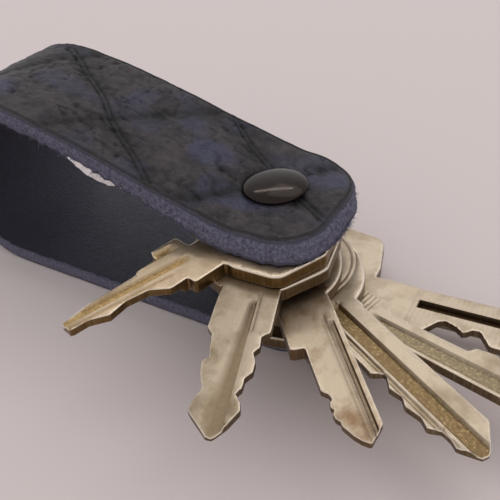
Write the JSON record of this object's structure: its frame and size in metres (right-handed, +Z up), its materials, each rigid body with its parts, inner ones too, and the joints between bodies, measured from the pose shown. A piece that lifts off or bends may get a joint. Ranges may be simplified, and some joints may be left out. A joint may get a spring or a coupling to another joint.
{
  "type": "key organiser",
  "caption": "Folded leather strap clamped at its open end by a domed post and screw, with flat keys that swing out from between its two leaves.",
  "frame": {"origin": "middle of the strap's flat underside, on the surface it rests on", "axes": "+X along the strap from the fold towards the screw, +Y across the strap, +Z up along the post"},
  "size_m": [0.1139, 0.0566, 0.0345],
  "materials": {
    "leather": "embossed, antiqued navy vegetable-tanned leather with raw cut edges",
    "gunmetal": "polished black nickel plate",
    "washer_steel": "dark oxide washer",
    "nickel_silver": "worn nickel silver with fine milling marks",
    "key_brass": "nickel-plated brass, rubbed through at the edges"
  },
  "bodies": {
    "holder": {"strap": "leather", "post": "gunmetal", "screw": "gunmetal", "lower_washer": "washer_steel", "upper_washer": "washer_steel", "spacer_1": "washer_steel", "spacer_2": "washer_steel"},
    "wide_head_key_body": {"wide_head_key": "nickel_silver"},
    "slim_key_body": {"slim_key": "nickel_silver"},
    "round_head_key_body": {"round_head_key": "nickel_silver"},
    "small_flat_key_body": {"small_flat_key": "nickel_silver"},
    "double_bitted_key_body": {"double_bitted_key": "nickel_silver"},
    "double_groove_key_body": {"double_groove_key": "key_brass"}
  },
  "joints": [
    {"name": "wide_head_swing", "type": "hinge", "parent": "holder", "child": "wide_head_key_body", "pos_m": [0.0193, 0, 0.01], "axis": [0, 0, 1], "continuous": true},
    {"name": "slim_swing", "type": "hinge", "parent": "holder", "child": "slim_key_body", "pos_m": [0.0193, 0, 0.01], "axis": [0, 0, 1], "continuous": true},
    {"name": "round_head_swing", "type": "hinge", "parent": "holder", "child": "round_head_key_body", "pos_m": [0.0193, 0, 0.01], "axis": [0, 0, 1], "continuous": true},
    {"name": "small_flat_swing", "type": "hinge", "parent": "holder", "child": "small_flat_key_body", "pos_m": [0.0193, 0, 0.01], "axis": [0, 0, 1], "continuous": true},
    {"name": "double_bitted_swing", "type": "hinge", "parent": "holder", "child": "double_bitted_key_body", "pos_m": [0.0193, 0, 0.01], "axis": [0, 0, 1], "continuous": true},
    {"name": "double_groove_swing", "type": "hinge", "parent": "holder", "child": "double_groove_key_body", "pos_m": [0.0193, 0, 0.01], "axis": [0, 0, 1], "continuous": true}
  ]
}
